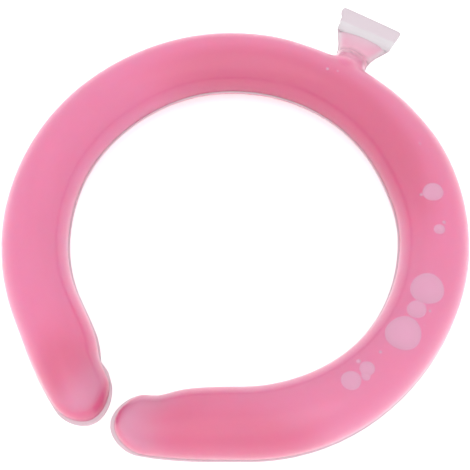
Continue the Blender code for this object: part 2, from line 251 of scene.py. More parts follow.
class RingSizes(bpy.types.PropertyGroup):
    """Sizes of the ring."""

    radius: bpy.props.FloatProperty(
        name="Ring radius", description="Middle of the neck opening to the middle of the tube",
        default=0.074, unit="LENGTH", subtype="DISTANCE", precision=4,
    )
    tube_width: bpy.props.FloatProperty(
        name="Tube width", description="Across the tube's body, without its seam",
        default=0.0246, unit="LENGTH", subtype="DISTANCE", precision=4,
    )
    wall: bpy.props.FloatProperty(
        name="Wall", description="Thickness of the clear plastic",
        default=0.0012, unit="LENGTH", subtype="DISTANCE", precision=4,
    )
    seam_proud: bpy.props.FloatProperty(
        name="Seam", description="How far the mould seam stands out along the sides",
        default=0.0003, unit="LENGTH", subtype="DISTANCE", precision=4,
    )
    seam_drop: bpy.props.FloatProperty(
        name="Seam drop", description="How far below the tube's middle the mould seam lies",
        default=0.0026, unit="LENGTH", subtype="DISTANCE", precision=4,
    )
    seam_thickness: bpy.props.FloatProperty(
        name="Seam thickness", description="Thickness of the mould seam",
        default=0.0010, unit="LENGTH", subtype="DISTANCE", precision=4,
    )
    tip_seam: bpy.props.FloatProperty(
        name="Tip seam", description="How far the seam stands out round each tip",
        default=0.0015, unit="LENGTH", subtype="DISTANCE", precision=4,
    )
    end_gap: bpy.props.FloatProperty(
        name="End gap", description="Distance between the two tips",
        default=0.0044, unit="LENGTH", subtype="DISTANCE", precision=4,
    )
    end_meeting: bpy.props.FloatProperty(
        name="End meeting", description="How far to the right of the middle the tips meet",
        default=0.0029, unit="LENGTH", subtype="DISTANCE", precision=4,
    )
    end_length: bpy.props.FloatProperty(
        name="End length", description="Stretch over which the tube narrows",
        default=0.036, unit="LENGTH", subtype="DISTANCE", precision=4,
    )
    end_taper: bpy.props.FloatProperty(
        name="End taper", description="Share of its width that the tube loses towards the tip",
        default=0.35, min=0, max=1, subtype="FACTOR",
    )
    nose_length: bpy.props.FloatProperty(
        name="Nose length", description="Length of the rounded tip",
        default=0.0100, unit="LENGTH", subtype="DISTANCE", precision=4,
    )
    nose_skew: bpy.props.FloatProperty(
        name="Nose skew", description="How far outwards of the tube's middle the tip lies",
        default=0.0002, unit="LENGTH", subtype="DISTANCE", precision=4,
    )
    nick_depth: bpy.props.FloatProperty(
        name="Nick depth", description="Depth of the shallow nick on the neck's side",
        default=0.0016, unit="LENGTH", subtype="DISTANCE", precision=4,
    )
    neck_lean: bpy.props.FloatProperty(
        name="Neck lean", description="How far the filler neck leans to the left",
        default=math.radians(5.3), unit="ROTATION", subtype="ANGLE",
    )
    neck_length: bpy.props.FloatProperty(
        name="Neck length", description="Tube's outer side to the weld",
        default=0.0155, unit="LENGTH", subtype="DISTANCE", precision=4,
    )
    neck_width: bpy.props.FloatProperty(
        name="Neck width", description="Width of the filler neck at the weld",
        default=0.0250, unit="LENGTH", subtype="DISTANCE", precision=4,
    )
    neck_foot_height: bpy.props.FloatProperty(
        name="Neck foot", description="Height of the filler neck's round foot",
        default=0.0136, unit="LENGTH", subtype="DISTANCE", precision=4,
    )
    weld_turn: bpy.props.FloatProperty(
        name="Weld turn", description="How far the welded strip is turned against the neck",
        default=math.radians(-3), unit="ROTATION", subtype="ANGLE",
    )
    weld_length: bpy.props.FloatProperty(
        name="Weld length", description="Length of the welded strip",
        default=0.0103, unit="LENGTH", subtype="DISTANCE", precision=4,
    )
    weld_bead: bpy.props.FloatProperty(
        name="Weld bead", description="Thickness of the ridge that the weld squeezed up",
        default=0.0042, unit="LENGTH", subtype="DISTANCE", precision=4,
    )
    gel_in_neck: bpy.props.FloatProperty(
        name="Gel level", description="How far the gel rises into the filler neck",
        default=0.0019, unit="LENGTH", subtype="DISTANCE", precision=4,
    )
    bubble_depth: bpy.props.FloatProperty(
        name="Bubble depth", description="Depth of a bubble as a share of its width",
        default=0.12, min=0, max=0.5, subtype="FACTOR",
    )


class RingColours(bpy.types.PropertyGroup):
    """Colours of the ring and of the floor that it lies on."""

    gel: bpy.props.FloatVectorProperty(
        name="Gel", description="Colour of the cooling gel",
        default=(0.96, 0.160, 0.44), size=3, min=0, max=1, subtype="COLOR",
    )
    # Deeper pink, also used as painted shade on the gel's inner side at the back and on its low side
    # near the tips
    gel_deep_and_shade: bpy.props.FloatVectorProperty(
        name="Gel, deeper", description="Colour of the gel where it is thickest",
        default=(0.82, 0.033, 0.26), size=3, min=0, max=1, subtype="COLOR",
    )
    gel_pale: bpy.props.FloatVectorProperty(
        name="Gel, paler", description="Colour of the gel where it has a touch of lilac",
        default=(0.79, 0.250, 0.46), size=3, min=0, max=1, subtype="COLOR",
    )
    # Painted reflection: the same gel, shown paler and more lilac for the light that the air gap over
    # it reflects
    bubble: bpy.props.FloatVectorProperty(
        name="Bubble", description="Colour of the gel seen across an air bubble",
        default=(0.90, 0.30, 0.56), size=3, min=0, max=1, subtype="COLOR",
    )
    plastic: bpy.props.FloatVectorProperty(
        name="Plastic", description="Tint of the clear plastic",
        default=(0.93, 0.90, 0.92), size=3, min=0, max=1, subtype="COLOR",
    )
    seam: bpy.props.FloatVectorProperty(
        name="Seam", description="Colour of the pressed seam, where the plastic is milkier",
        default=(0.66, 0.54, 0.59), size=3, min=0, max=1, subtype="COLOR",
    )
    fused: bpy.props.FloatVectorProperty(
        name="Fused plastic", description="Colour of the cloudy weld",
        default=(0.60, 0.55, 0.58), size=3, min=0, max=1, subtype="COLOR",
    )
    film: bpy.props.FloatVectorProperty(
        name="Gel film", description="Colour of the thin film of gel in the filler neck",
        default=(0.86, 0.24, 0.44), size=3, min=0, max=1, subtype="COLOR",
    )
    neck_pale: bpy.props.FloatVectorProperty(
        name="Neck, pale", description="Colour of the filler neck near its weld",
        default=(0.69, 0.52, 0.60), size=3, min=0, max=1, subtype="COLOR",
    )
    neck_pink: bpy.props.FloatVectorProperty(
        name="Neck, pink", description="Colour of the filler neck near its foot",
        default=(0.74, 0.38, 0.50), size=3, min=0, max=1, subtype="COLOR",
    )
    # Painted shade in the fold below the weld
    neck_fold_shade: bpy.props.FloatVectorProperty(
        name="Neck fold", description="Colour of the fold below the weld",
        default=(0.62, 0.20, 0.34), size=3, min=0, max=1, subtype="COLOR",
    )
    neck_side: bpy.props.FloatVectorProperty(
        name="Neck side", description="Colour of the filler neck's sides, where no gel stuck",
        default=(0.70, 0.63, 0.67), size=3, min=0, max=1, subtype="COLOR",
    )
    floor: bpy.props.FloatVectorProperty(
        name="Floor", description="Colour of the floor",
        default=(0.93, 0.93, 0.93), size=3, min=0, max=1, subtype="COLOR",
    )


def sizes():
    return bpy.context.scene.neck_ring_sizes


def colours():
    return bpy.context.scene.neck_ring_colours


# Materials


class Wire:
    """A socket's value in a node tree, on which sums can be written."""

    def __init__(self, tree, socket):
        self.tree = tree
        self.socket = socket

    def sum_node(self, operation, *terms):
        node = self.tree.nodes.new("ShaderNodeMath")
        node.operation = operation
        for slot, term in zip(node.inputs, terms):
            if isinstance(term, Wire):
                self.tree.links.new(term.socket, slot)
            else:
                slot.default_value = term
        return Wire(self.tree, node.outputs[0])

    def __add__(self, other):
        return self.sum_node("ADD", self, other)

    __radd__ = __add__

    def __sub__(self, other):
        return self.sum_node("SUBTRACT", self, other)

    def __rsub__(self, other):
        return self.sum_node("SUBTRACT", other, self)

    def __mul__(self, other):
        return self.sum_node("MULTIPLY", self, other)

    __rmul__ = __mul__

    def __pow__(self, other):
        return self.sum_node("POWER", self, other)


class Finish:
    """A Principled material that is being put together."""

    def __init__(self, name, **constants):
        self.material = bpy.data.materials.new(name)
        self.material.use_nodes = True
        self.tree = self.material.node_tree
        self.shader = self.tree.nodes["Principled BSDF"]
        for socket, value in constants.items():
            self.shader.inputs[socket.replace("_", " ")].default_value = value

    def second_shader(self, share, **constants):
        """What is fed from now on goes to another Principled shader, which shows by this share."""
        first = self.shader
        self.shader = self.tree.nodes.new("ShaderNodeBsdfPrincipled")
        for socket, value in constants.items():
            self.shader.inputs[socket.replace("_", " ")].default_value = value
        both = self.tree.nodes.new("ShaderNodeMixShader")
        self.tree.links.new(share.socket, both.inputs[0])
        self.tree.links.new(first.outputs[0], both.inputs[1])
        self.tree.links.new(self.shader.outputs[0], both.inputs[2])
        self.tree.links.new(both.outputs[0], self.tree.nodes["Material Output"].inputs["Surface"])

    def node(self, kind, settings=None, output=0, **sockets):
        made = self.tree.nodes.new(kind)
        for setting, value in (settings or {}).items():
            setattr(made, setting, value)
        for name, value in sockets.items():
            slot = made.inputs[int(name[1:]) if name[1:].isdigit() else name.replace("_", " ")]
            if isinstance(value, Wire):
                self.tree.links.new(value.socket, slot)
            else:
                slot.default_value = value
        return Wire(self.tree, made.outputs[output])

    def place(self):
        return self.node("ShaderNodeTexCoord", output="Object")

    def axes(self):
        split = self.node("ShaderNodeSeparateXYZ", Vector=self.place())
        return [Wire(self.tree, output) for output in split.socket.node.outputs]

    def joined(self, x, y, z):
        return self.node("ShaderNodeCombineXYZ", X=x, Y=y, Z=z)

    def near(self, point, outer, inner):
        """1 within the inner distance of a point, 0 beyond the outer one."""
        away = self.node(
            "ShaderNodeVectorMath", {"operation": "DISTANCE"}, output=1, s0=self.place(), s1=point
        )
        return self.ramp(away, outer, inner)

    def noise(self, scale, detail=2.0, roughness=0.5, place=None):
        return self.node(
            "ShaderNodeTexNoise", Vector=place or self.place(), Scale=scale,
            Detail=detail, Roughness=roughness,
        )

    def blend(self, share, first, second):
        """Mixes two colours."""
        return self.node(
            "ShaderNodeMix", {"data_type": "RGBA"}, output=2,
            s0=share, s6=colour_of(first), s7=colour_of(second),
        )

    def ramp(self, value, low, high):
        """0 up to low, 1 from high on, and smooth in between."""
        return self.node(
            "ShaderNodeMapRange", {"interpolation_type": "SMOOTHSTEP"},
            Value=value, From_Min=low, From_Max=high,
        )

    def bump(self, height, strength, distance):
        return self.node("ShaderNodeBump", Height=height, Strength=strength, Distance=distance)

    def feed(self, **sockets):
        for name, wire in sockets.items():
            self.tree.links.new(wire.socket, self.shader.inputs[name.replace("_", " ")])
        return self.material


def colour_of(value):
    return value if isinstance(value, Wire) else (*value, 1.0)


def clear_plastic():
    """Soft clear plastic with a satin skin, milky where the neck's walls were drawn thick."""
    look = Finish(
        "clear_plastic", IOR=PLASTIC_IOR, Transmission_Weight=0.92,
        Sheen_Weight=0.1, Sheen_Roughness=0.35,
    )
    unevenness = look.noise(60.0, 3.0)
    frost = look.noise(1400.0, 2.0)
    darker = tuple(0.97 * c for c in colours().plastic)
    roughness = 0.14 + 0.06 * look.noise(35.0)
    skin = look.bump(unevenness + 0.006 * frost, 0.12, 0.0006)
    look.feed(
        Base_Color=look.blend(unevenness, colours().plastic, darker),
        Roughness=roughness,
        Normal=skin,
    )

    length = sizes().neck_length
    up, aside = neck_axes(look)
    milky = 0.9 * look.ramp(up, 0.0020, 0.0065)
    look.second_shader(milky, IOR=PLASTIC_IOR, Transmission_Weight=0.3)
    pinkness = look.ramp(unevenness - 0.35 * look.ramp(up, 0.004, length), -0.4, 0.6)
    pink = look.blend(pinkness, colours().neck_pale, colours().neck_pink)
    # Painted shade: a dark band just below the weld, where the neck folds
    fold_shade_start = look.ramp(up, 0.915 * length, 0.935 * length)
    fold_shade_end = look.ramp(up, 0.985 * length, 0.955 * length)
    pink = look.blend(fold_shade_start * fold_shade_end, pink, colours().neck_fold_shade)
    beside = look.ramp(aside * aside - 0.35 * (up * up), 0.00005, 0.00001)
    return look.feed(
        Base_Color=look.blend(beside, colours().neck_side, pink),
        Roughness=roughness + 0.12,
        Normal=skin,
    )


def pressed_seam():
    """The seam and the tips' rims, where two layers of plastic are pressed into one milky one."""
    look = Finish("pressed_seam", IOR=PLASTIC_IOR, Transmission_Weight=0.45)
    cloud = look.noise(150.0, 3.0)
    pale = tuple(min(1.0, 1.1 * c) for c in colours().seam)
    return look.feed(
        Base_Color=look.blend(cloud, colours().seam, pale),
        Roughness=0.28 + 0.1 * cloud,
        Normal=look.bump(cloud, 0.15, 0.0004),
    )


def pink_gel():
    """The gel: painted deeper as shade on the inner side of the ring's back and on the low side near
    the tips, deeper in tone over the back, at the front and in clouds, and with a touch of lilac near
    the tips and in clouds.
    """
    look = Finish(
        "pink_gel", Subsurface_Weight=1.0, Subsurface_Scale=0.006,
        Subsurface_Radius=(1.0, 0.5, 0.6),
    )
    s = sizes()
    x, y, z = look.axes()
    cloud = look.noise(18.0, 3.0)
    grain = look.noise(200.0, 2.0)
    from_centre = ((x - RING_CENTRE.x) ** 2 + (y - RING_CENTRE.y) ** 2) ** 0.5
    neck_side = look.ramp(from_centre, s.radius + 0.003, s.radius - 0.007)
    back = look.ramp(y, 0.0, 0.052)
    # The tube's lower half, which near the tips is painted deeper as shade
    low = look.ramp(z, 0.0195, 0.0105)
    left_tip, right_tip = (
        look.near(middle_line(arm, arm_length(arm)) + RING_CENTRE, 0.030, 0.006)
        for arm in (LEFT_ARM, RIGHT_ARM)
    )
    outside = look.ramp(from_centre, s.radius - 0.006, s.radius + 0.005)
    right_of_gap = look.ramp(x, -0.040, -0.015)
    front = right_of_gap * look.ramp(y, -0.050, -0.075) * (0.5 + 0.5 * outside)
    # Where the deeper colour goes: painted shade on the inner side of the ring's back and on the low
    # side near both tips, and a deeper tone over the back, at the front and in clouds
    deep = (
        neck_side * back * 0.75 + back * 0.3 + front * (1 - right_tip)
        + left_tip**2 * low * 1.5 + right_tip**2 * low + 0.2 * (cloud - 0.5)
    )
    pale = look.ramp(cloud + 0.04 * grain, 0.4, 0.65) * 0.35 + 0.7 * left_tip + 1.1 * right_tip
    colour = look.blend(look.ramp(pale, 0.0, 1.0), colours().gel, colours().gel_pale)
    return look.feed(
        Base_Color=look.blend(look.ramp(deep, 0.0, 1.0), colour, colours().gel_deep_and_shade),
        Roughness=0.42 + 0.1 * cloud,
        Normal=look.bump(cloud + 0.02 * grain, 0.2, 0.0008),
    )


def bubble_bottom():
    """The gel's dished skin under an air bubble, painted paler and more lilac than the gel as
    reflection from the air gap.
    """
    look = Finish("bubble_bottom")
    s = sizes()
    x, y, z = look.axes()
    cloud = look.noise(420.0, 3.0)
    pale = tuple(min(1.0, 1.08 * c) for c in colours().bubble)
    from_middle = ((x - RING_CENTRE.x) ** 2 + (y - RING_CENTRE.y) ** 2) ** 0.5 - s.radius
    half = s.tube_width / 2 - s.wall
    full = (1 - (from_middle * (1 / half)) ** 2) ** 0.5 * (TUBE_HEIGHT / 2 - s.wall)
    depth = full + RING_CENTRE.z - z
    inside = look.ramp(depth, -0.0002, 0.0003)
    return look.feed(
        Base_Color=look.blend(
            inside, colours().gel_pale, look.blend(cloud, colours().bubble, pale)
        ),
        Roughness=0.35 + 0.15 * cloud,
    )


def neck_film():
    """The thin film of gel that the filling left in the filler neck, painted to its full colour in its
    last fold as shade there.
    """
    look = Finish("neck_film")
    s = sizes()
    cloud = look.noise(130.0, 3.0)
    up, aside = neck_axes(look)
    # Painted shade in the last fold below the weld, where the film takes its full colour
    fold = look.ramp(up, 0.90 * s.neck_length, 0.93 * s.neck_length)
    foot = look.ramp(up, s.gel_in_neck + 0.007, s.gel_in_neck)
    sides = look.ramp(aside * aside, 0.003**2, 0.007**2)
    pale = tuple(0.5 * c + 0.5 * d for c, d in zip(colours().film, colours().plastic))
    share = 0.9 * fold + 0.7 * foot + 0.4 * sides + 0.6 * (cloud - 0.4)
    return look.feed(
        Base_Color=look.blend(look.ramp(share, 0.0, 1.0), pale, colours().film),
        Roughness=0.4 + 0.15 * cloud,
    )


def fused_plastic():
    """Two layers melted into one, cloudy and streaked along the weld."""
    look = Finish("fused_plastic", IOR=PLASTIC_IOR, Transmission_Weight=0.25)
    s = sizes()
    up, aside = neck_axes(look)
    streak = look.node(
        "ShaderNodeTexNoise", Vector=look.joined(60.0 * aside, 320.0 * up, 0.0), Scale=1.0, Detail=3.0,
    )
    cloud = look.noise(170.0, 4.0)
    frost = look.noise(1600.0, 2.0)
    ridge = look.ramp(up, s.neck_length + 0.0042, s.neck_length + 0.0026)
    rosy = tuple(c * d for c, d in zip(colours().fused, (1.0, 0.94, 0.97)))
    cool = tuple(c * d for c, d in zip(colours().fused, (1.04, 1.07, 1.06)))
    share = 0.7 * ridge + 0.5 * (streak - 0.5) + 0.5 * (cloud - 0.3)
    return look.feed(
        Base_Color=look.blend(look.ramp(share, 0.0, 1.0), rosy, cool),
        Roughness=0.38 + 0.12 * cloud,
        Normal=look.bump(cloud + 0.6 * streak + 0.1 * frost, 0.35, 0.0005),
    )


def neck_axes(look):
    """How far a place lies up the filler neck, and to its right."""
    x, y, _ = look.axes()
    foot, way = neck_foot()
    up = (x - foot.x) * way.x + (y - foot.y) * way.y
    aside = (x - foot.x) * way.y - (y - foot.y) * way.x
    return up, aside


def pale_floor():
    """A white table that is lit from below."""
    look = Finish(
        "pale_floor", Roughness=0.9, Specular_IOR_Level=0.1,
        Emission_Color=(1, 1, 1, 1), Emission_Strength=0.42,
    )
    grain = look.noise(40.0, 2.0)
    dim = tuple(0.99 * c for c in colours().floor)
    return look.feed(Base_Color=look.blend(grain, colours().floor, dim))


# Modelling steps


def start_piece():
    """Nothing is selected and the next primitive opens on its own."""
    if bpy.context.object and bpy.context.object.mode != "OBJECT":
        bpy.ops.object.mode_set(mode="OBJECT")
    bpy.ops.object.select_all(action="DESELECT")


def only(piece):
    start_piece()
    piece.select_set(True)
    bpy.context.view_layer.objects.active = piece


def apply_modifier(piece, kind, **settings):
    only(piece)
    modifier = piece.modifiers.new(kind, kind)
    for name, value in settings.items():
        setattr(modifier, name, value)
    bpy.ops.object.modifier_apply(modifier=modifier.name)


def subdivide_smooth(piece, levels=1):
    apply_modifier(piece, "SUBSURF", levels=levels, render_levels=levels)


def combine(piece, other, operation):
    """Adds another closed piece, or takes it away, and removes it."""
    apply_modifier(
        piece, "BOOLEAN", operation=operation, object=other, solver="EXACT",
        material_mode="TRANSFER",
    )
    bpy.data.objects.remove(other, do_unlink=True)


def apply_place(piece):
    only(piece)
    bpy.ops.object.transform_apply(location=True, rotation=True, scale=True)


def smooth_shading(piece, degrees=38):
    only(piece)
    bpy.ops.object.shade_smooth_by_angle(angle=math.radians(degrees))


def draw_out(name, outline, stations):
    """Draws a section out along +X through stations of (x, across, rise, half-width, half-height).

    The outline is a flat shape of width and height 2 in the YZ plane, selected in edit mode.
    """
    outline()
    piece = bpy.context.object
    piece.name = name
    bpy.ops.object.mode_set(mode="EDIT")
    bpy.ops.mesh.select_all(action="SELECT")
    *place, wide, high = stations[0]
    bpy.ops.transform.resize(value=(1, wide, high), center_override=(0, 0, 0))
    bpy.ops.transform.translate(value=place)
    for *next_place, next_wide, next_high in stations[1:]:
        step = [after - before for after, before in zip(next_place, place)]
        bpy.ops.mesh.extrude_edges_move(TRANSFORM_OT_translate={"value": step})
        bpy.ops.transform.resize(
            value=(1, next_wide / wide, next_high / high), center_override=next_place
        )
        place, wide, high = next_place, next_wide, next_high
    bpy.ops.mesh.select_all(action="SELECT")
    bpy.ops.mesh.select_non_manifold(extend=False)
    bpy.ops.mesh.edge_face_add()
    bpy.ops.mesh.select_all(action="SELECT")
    bpy.ops.mesh.normals_make_consistent(inside=False)
    bpy.ops.object.mode_set(mode="OBJECT")
    return piece


def round_outline():
    start_piece()
    bpy.ops.mesh.primitive_circle_add(
        vertices=RIM_SIDES, radius=1, rotation=(0, math.pi / 2, 0)
    )
    bpy.ops.object.transform_apply(location=False, rotation=True, scale=False)


def flat_outline(aspect):
    """A flat strip's section with rounded edges, stretched so that it is 2 wide and 2 high."""

    def outline():
        start_piece()
        bpy.ops.mesh.primitive_plane_add(size=2, rotation=(0, math.pi / 2, 0))
        bpy.ops.object.transform_apply(location=False, rotation=True, scale=False)
        bpy.ops.object.mode_set(mode="EDIT")
        bpy.ops.mesh.select_all(action="SELECT")
        bpy.ops.mesh.delete(type="ONLY_FACE")
        bpy.ops.mesh.select_all(action="SELECT")
        bpy.ops.transform.resize(value=(1, aspect, 1), center_override=(0, 0, 0))
        bpy.ops.mesh.bevel(offset=0.75, segments=3, affect="VERTICES")
        bpy.ops.mesh.select_all(action="SELECT")
        bpy.ops.transform.resize(value=(1, 1 / aspect, 1), center_override=(0, 0, 0))
        bpy.ops.object.mode_set(mode="OBJECT")

    return outline


# The ring's form


def swell(round_ring):
    """How full the tube is at this many degrees round the ring, eased between its rows."""
    for first, second in zip(SWELLS, SWELLS[1:]):
        if round_ring <= second.round_ring:
            break
    share = (round_ring - first.round_ring) / (second.round_ring - first.round_ring)
    ease = (1 - math.cos(math.pi * min(max(share, 0.0), 1.0))) / 2
    return (
        first.outer + (second.outer - first.outer) * ease,
        first.inner + (second.inner - first.inner) * ease,
    )


def end_share(from_tip):
    """Half-width of the tube near a tip, as a share of its full half-width."""
    s = sizes()
    back = max(0.0, 1 - max(from_tip, 0.0) / s.end_length)
    nose = min(max(from_tip, 0.0) / s.nose_length, 1.0)
    return (1 - s.end_taper * back**NARROWING_POWER) * math.sqrt(1 - (1 - nose) ** 2)


def nick(from_tip, arm):
    """How deep the nick on the neck's side is at this distance from the tip."""
    slope = NICK_SLOPE_AWAY if from_tip > arm.nick_from_tip else NICK_SLOPE_TIP
    away = min(1.0, abs(from_tip - arm.nick_from_tip) / slope)
    return sizes().nick_depth * (1 + math.cos(math.pi * away)) / 2


def arm_at(round_ring):
    return RIGHT_ARM if round_ring > 0 else LEFT_ARM


def bend_end(arm):
    radius = sizes().radius * arm.bend_radius_share
    out = Vector((math.sin(arm.arc), math.cos(arm.arc)))
    centre = out * (sizes().radius - radius)
    turned = arm.arc + arm.bend
    place = centre + Vector((math.sin(turned), math.cos(turned))) * radius
    return place, Vector((math.cos(turned), -math.sin(turned))), centre


def arm_length(arm):
    place, heading, _ = bend_end(arm)
    tip_x = sizes().end_gap / 2 + arm.side * sizes().end_meeting
    straight = (tip_x - place.x) / heading.x
    return sizes().radius * (arm.arc + arm.bend * arm.bend_radius_share) + straight


def middle_line(arm, distance):
    """Place on the arm's middle line, at a distance from the filler neck."""
    radius = sizes().radius * arm.bend_radius_share
    arc_length = sizes().radius * arm.arc
    bend_length = radius * arm.bend
    place, heading, bend_centre = bend_end(arm)
    if distance <= arc_length:
        angle = distance / sizes().radius
        place = Vector((math.sin(angle), math.cos(angle))) * sizes().radius
    elif distance <= arc_length + bend_length:
        angle = arm.arc + (distance - arc_length) / radius
        place = bend_centre + Vector((math.sin(angle), math.cos(angle))) * radius
    else:
        place = place + heading * (distance - arc_length - bend_length)
    return Vector((place.x * arm.side, place.y, 0))


def bend_round(piece):
    """Bends a piece modelled straight along +X, left tip at 0, round the ring."""
    left, right = arm_length(LEFT_ARM), arm_length(RIGHT_ARM)
    total = left + right
    steps = round(total / 0.001)
    path = bpy.data.curves.new("ring_path", "CURVE")
    path.dimensions = "2D"
    path.use_stretch = False
    path.use_deform_bounds = False
    line = path.splines.new("POLY")
    line.points.add(steps)
    for number, point in enumerate(line.points):
        along = total * number / steps
        if along < left:
            place = middle_line(LEFT_ARM, left - along)
        else:
            place = middle_line(RIGHT_ARM, along - left)
        point.co = (*(place + RING_CENTRE), 1)
    guide = bpy.data.objects.new("ring_path", path)
    bpy.context.scene.collection.objects.link(guide)
    apply_modifier(piece, "CURVE", object=guide, deform_axis="POS_X")
    bpy.data.objects.remove(guide, do_unlink=True)
    bpy.data.curves.remove(path)


def tube_stations(start, section):
    """Stations along the straight tube, closer together at both tips."""
    s = sizes()
    left, right = arm_length(LEFT_ARM), arm_length(RIGHT_ARM)
    total = left + right
    nose = [
        start + s.nose_length * (1 - math.cos(math.pi / 2 * step / NOSE_STEPS))
        for step in range(1, NOSE_STEPS + 1)
    ]
    count = round((total - 2 * nose[-1]) / STATION_GAP)
    plain = [
        nose[-1] + (total - 2 * nose[-1]) * step / count for step in range(1, count)
    ]
    stations = []
    first = [0.9 * start + 0.1 * nose[0]] if start > 0 else []
    for along in first + nose + plain + [total - place for place in nose[::-1]]:
        from_tip = min(along, total - along)
        round_ring = math.degrees((along - left) / s.radius)
        stations.append((along, *section(from_tip, round_ring)))
    if start > 0:
        along = total - stations[0][0]
        stations.append((along, *section(stations[0][0], math.degrees((along - left) / s.radius))))
    return stations


def tube_section(start, inset, height):
    """Section of a round tube this far inside the shell's outer side, starting at a tip."""

    def section(from_tip, round_ring):
        s = sizes()
        outer, inner = swell(round_ring)
        share = max(end_share(from_tip - start), 0.03)
        skew = s.nose_skew * max(0.0, 1 - from_tip / s.nose_length)
        half = s.tube_width / 2
        out = (half * outer - inset) * share + skew
        within = (half * inner - inset) * share - nick(from_tip, arm_at(round_ring)) - skew
        high = max((height / 2 - inset) * share, 0.0002)
        return (out - within) / 2, 0.0, (out + within) / 2, high

    return section


def seam_section(from_tip, round_ring):
    """Section of the flat seam, which stands out of the tube on both sides."""
    s = sizes()
    outer, inner = swell(round_ring)
    share = end_share(from_tip)
    skew = s.nose_skew * max(0.0, 1 - from_tip / s.nose_length)
    half = s.tube_width / 2
    out = (half * outer + s.seam_proud) * share + skew
    within = (half * inner + s.seam_proud) * share - nick(from_tip, arm_at(round_ring)) - skew
    from_end = min(from_tip / s.end_length, 1.0)
    drop = s.seam_drop * (1 - TIP_DROP_LOST * (1 + math.cos(math.pi * from_end)) / 2)
    return (out - within) / 2, -drop, (out + within) / 2, s.seam_thickness / 2


def neck_stations(sections, start, length, thickness, grow=0.0, flat=None):
    """Stations of the neck's form, drawn out along +X with its left side towards +Y."""
    half = sizes().neck_width / 2
    stations = []
    for row in sections:
        left = half * row.left + grow
        right = half * row.right + grow
        high = flat or thickness / 2 * row.height + grow
        along = start + row.along * length
        stations.append((along, (left - right) / 2, 0.0, (left + right) / 2, high))
    return stations


def neck_foot():
    """Middle of the filler neck's foot, and the way that the neck points."""
    s = sizes()
    foot = RING_CENTRE + Vector((NECK_FOOT_ASIDE, s.radius + NECK_FOOT_OUT, 0))
    return foot, Vector((-math.sin(s.neck_lean), math.cos(s.neck_lean), 0))


def stand_on_ring(piece):
    """Turns a piece drawn out along +X into the filler neck's place."""
    turn = Matrix.Rotation(math.pi / 2 + sizes().neck_lean, 4, "Z")
    piece.matrix_world = Matrix.Translation(neck_foot()[0]) @ turn
    apply_place(piece)


def cut_neck(piece, up, keep):
    """Cuts a piece across the filler neck, this far up it, and leaves the closed cut selected."""
    foot, way = neck_foot()
    only(piece)
    bpy.ops.object.mode_set(mode="EDIT")
    bpy.ops.mesh.select_all(action="SELECT")
    bpy.ops.mesh.bisect(
        plane_co=foot + way * up, plane_no=way, use_fill=True,
        clear_outer=keep == "below", clear_inner=keep == "above",
    )


def select_corner(piece, share):
    """Selects what lies in the oval round the filler neck's foot, out to this share of it."""
    foot, way = neck_foot()
    only(piece)
    bpy.ops.object.mode_set(mode="EDIT")
    bpy.ops.mesh.select_mode(type="VERT")
    bpy.ops.mesh.select_all(action="DESELECT")
    bpy.ops.object.mode_set(mode="OBJECT")
    for corner in piece.data.vertices:
        from_foot = corner.co - foot
        aside = from_foot.x * way.y - from_foot.y * way.x
        up = from_foot.x * way.x + from_foot.y * way.y
        reach = math.hypot(aside / CORNER_ASIDE, (up + CORNER_BELOW_FOOT) / CORNER_UP)
        corner.select = reach < share
    bpy.ops.object.mode_set(mode="EDIT")


def round_corner(piece):
    """Rounds the corner where the filler neck stands on the tube."""
    select_corner(piece, CORNER_REFINED)
    bpy.ops.mesh.quads_convert_to_tris()
    bpy.ops.mesh.subdivide(number_cuts=1)
    for share in CORNER_SHARES:
        select_corner(piece, share)
        bpy.ops.mesh.vertices_smooth(factor=0.5, repeat=9)
    bpy.ops.object.mode_set(mode="OBJECT")


def tube(name, material, start, inset):
    height = TUBE_HEIGHT
    piece = draw_out(name, round_outline, tube_stations(start, tube_section(start, inset, height)))
    piece.data.materials.append(material)
    subdivide_smooth(piece)
    bend_round(piece)
    return piece


def neck_form(name, material, sections, grow=0.0):
    s = sizes()
    piece = draw_out(
        name, round_outline,
        neck_stations(sections, 0.0, s.neck_length, s.neck_foot_height, grow=grow),
    )
    piece.data.materials.append(material)
    subdivide_smooth(piece)
    stand_on_ring(piece)
    return piece


def finished(piece, replaced, shade=38):
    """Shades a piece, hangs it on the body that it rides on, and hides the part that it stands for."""
    smooth_shading(piece, shade)
    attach(piece, BODY)
    if replaced:
        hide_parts(replaced)


class NECKRING_OT_shell(bpy.types.Operator):
    """Model the clear hollow shell with its mould seam and filler neck"""

    bl_idname = "neckring.shell"
    bl_label = "Clear Shell"

    def execute(self, context):
        s = sizes()
        plastic = clear_plastic()
        shell = tube("clear_shell", plastic, s.tip_seam, 0.0)
        combine(shell, neck_form("neck_outer", plastic, NECK_SECTIONS), "UNION")
        round_corner(shell)
        milky = pressed_seam()
        seam = draw_out("seam", flat_outline(20), tube_stations(0.0, seam_section))
        bend_round(seam)
        seam.data.materials.append(milky)
        combine(shell, seam, "UNION")
        neck_seam = draw_out(
            "neck_seam", flat_outline(20),
            neck_stations(
                NECK_SECTIONS, 0.0, s.neck_length, s.neck_foot_height,
                grow=s.seam_proud, flat=0.45 * s.seam_thickness,
            ),
        )
        stand_on_ring(neck_seam)
        neck_seam.data.materials.append(milky)
        combine(shell, neck_seam, "UNION")
        hollow = tube("hollow", plastic, s.tip_seam + s.wall, s.wall)
        combine(hollow, neck_form("neck_hollow", plastic, NECK_HOLLOW_SECTIONS), "UNION")
        round_corner(hollow)
        only(hollow)
        bpy.ops.object.mode_set(mode="EDIT")
        bpy.ops.mesh.select_all(action="SELECT")
        bpy.ops.mesh.flip_normals()
        bpy.ops.object.mode_set(mode="OBJECT")
        only(shell)
        hollow.select_set(True)
        bpy.ops.object.join()
        finished(shell, "shell")
        return {"FINISHED"}


